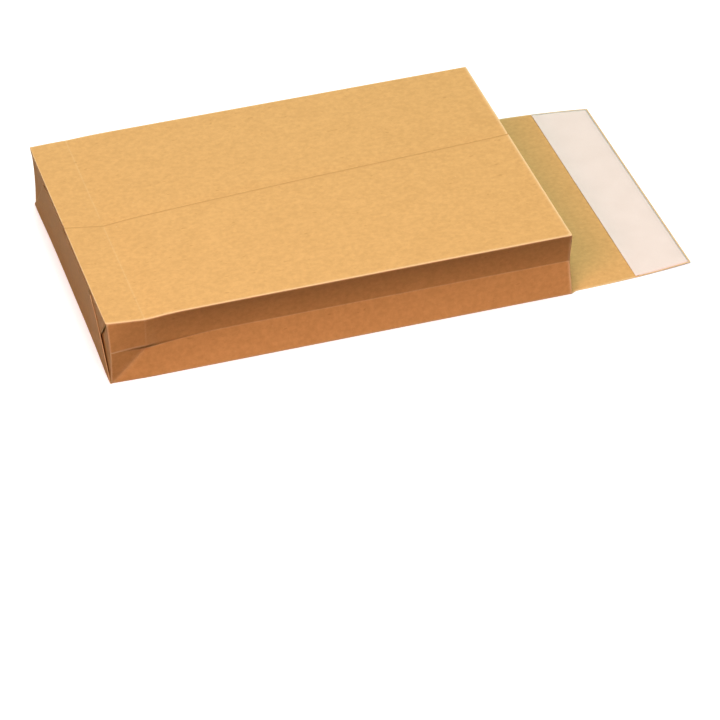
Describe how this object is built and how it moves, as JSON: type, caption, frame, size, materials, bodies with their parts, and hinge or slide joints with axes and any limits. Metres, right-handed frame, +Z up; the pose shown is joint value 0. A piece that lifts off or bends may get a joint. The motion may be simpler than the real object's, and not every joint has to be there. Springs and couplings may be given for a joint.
{
  "type": "gusseted envelope",
  "caption": "Kraft paper envelope with side gussets and a folded block bottom, opened out on its back, with an adhesive closing flap under a release liner",
  "frame": {"origin": "centre of the underside of the bounding box, on the surface that the envelope lies on", "axes": "+X runs along the envelope from the block bottom to the closing flap, +Y across it, +Z up from the back panel to the front panel"},
  "size_m": [0.4448, 0.25, 0.052],
  "materials": {
    "kraft_paper": "uncoated golden brown kraft, matt",
    "siliconised_paper": "warm white, faint silicone sheen",
    "hot_melt": "clear amber, tacky and glossy",
    "paste": "dried paste film"
  },
  "bodies": {
    "root": {"envelope_body": "kraft_paper", "seam_glue": "paste", "bottom_glue": "paste", "adhesive_strip": "hot_melt", "release_liner": "siliconised_paper"}
  },
  "joints": []
}
